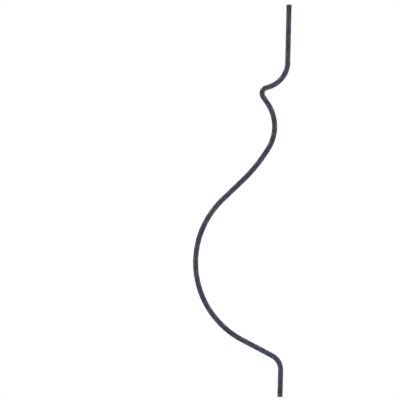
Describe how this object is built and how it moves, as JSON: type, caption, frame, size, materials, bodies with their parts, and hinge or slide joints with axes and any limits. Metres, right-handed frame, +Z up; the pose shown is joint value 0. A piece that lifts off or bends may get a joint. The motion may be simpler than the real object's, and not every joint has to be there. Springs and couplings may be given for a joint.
{
  "type": "stair baluster",
  "caption": "Belly baluster bent from one square wrought iron bar with hammered edges, its two ends in line, to stand between a stair tread and a handrail.",
  "frame": {"origin": "middle of the lower end face", "axes": "+Z up the line that both ends stand on, belly towards -X, +Y square to the plane of the bends"},
  "size_m": [0.2125, 0.012, 0.9],
  "materials": {
    "iron": "dark blue-grey forged iron, even and satin, a little brighter on the arrises"
  },
  "bodies": {
    "root": {"baluster_bar": "iron"}
  },
  "joints": []
}
